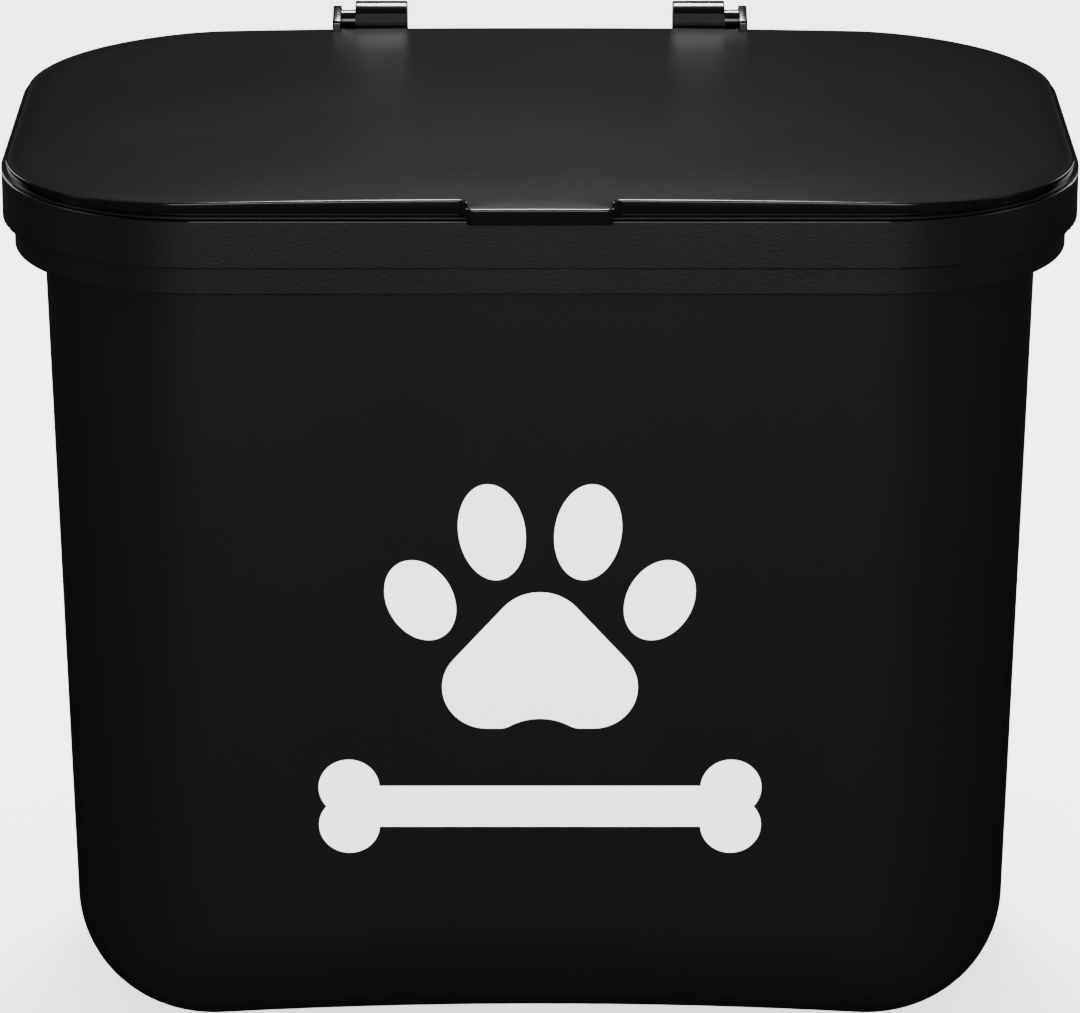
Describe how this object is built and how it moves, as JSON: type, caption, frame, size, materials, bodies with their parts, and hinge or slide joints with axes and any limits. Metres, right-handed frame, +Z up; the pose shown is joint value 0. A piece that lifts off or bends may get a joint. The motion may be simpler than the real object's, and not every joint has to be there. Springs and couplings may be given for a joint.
{
  "type": "dog waste bin",
  "caption": "Small black moulded waste bin with a hinged arched lid, a lift-off bag-clamping ring, a tapered round-bottomed tub and a printed paw on the front.",
  "frame": {"origin": "centre of the overall box, on the surface the bin stands on", "axes": "+X to the viewer's right when facing the front wall, front wall and tab towards -Y, +Z up"},
  "size_m": [0.252, 0.1724, 0.2239],
  "materials": {
    "tub_plastic": "fine spark texture, black polypropylene",
    "ring_plastic": "fine spark texture, black polypropylene",
    "lid_plastic": "fine spark texture on top, polished edge, black polypropylene",
    "pin_plastic": "polished black acetal",
    "seal_rubber": "satin dark grey elastomer",
    "foot_rubber": "matte dark elastomer",
    "cage_plastic": "satin dark grey polypropylene",
    "carbon_foam": "open-cell foam loaded with carbon",
    "print_white": "satin white screen print"
  },
  "bodies": {
    "bin": {"bin_body": "tub_plastic", "foot_front_left": "foot_rubber", "foot_front_right": "foot_rubber", "foot_rear_left": "foot_rubber", "foot_rear_right": "foot_rubber", "print_paw_pad": "print_white", "print_toe_outer_left": "print_white", "print_toe_outer_right": "print_white", "print_toe_inner_left": "print_white", "print_toe_inner_right": "print_white", "print_bone": "print_white"},
    "ring": {"bag_ring": "ring_plastic"},
    "lid": {"lid": "lid_plastic", "lid_seal": "seal_rubber", "hinge_pin_left": "pin_plastic", "hinge_pin_right": "pin_plastic"},
    "filter": {"filter_cage": "cage_plastic", "carbon_pad": "carbon_foam"}
  },
  "joints": [
    {"name": "ring_lift", "type": "slide", "parent": "bin", "child": "ring", "axis": [0, 0, 1], "range_m": [0, 0.03]},
    {"name": "lid_hinge", "type": "hinge", "parent": "ring", "child": "lid", "pos_m": [0, 0.07982, 0.21915], "axis": [-1, 0, 0], "range_deg": [0, 105]},
    {"name": "filter_drop", "type": "slide", "parent": "lid", "child": "filter", "axis": [0, 0, -1], "range_m": [0, 0.025]}
  ]
}
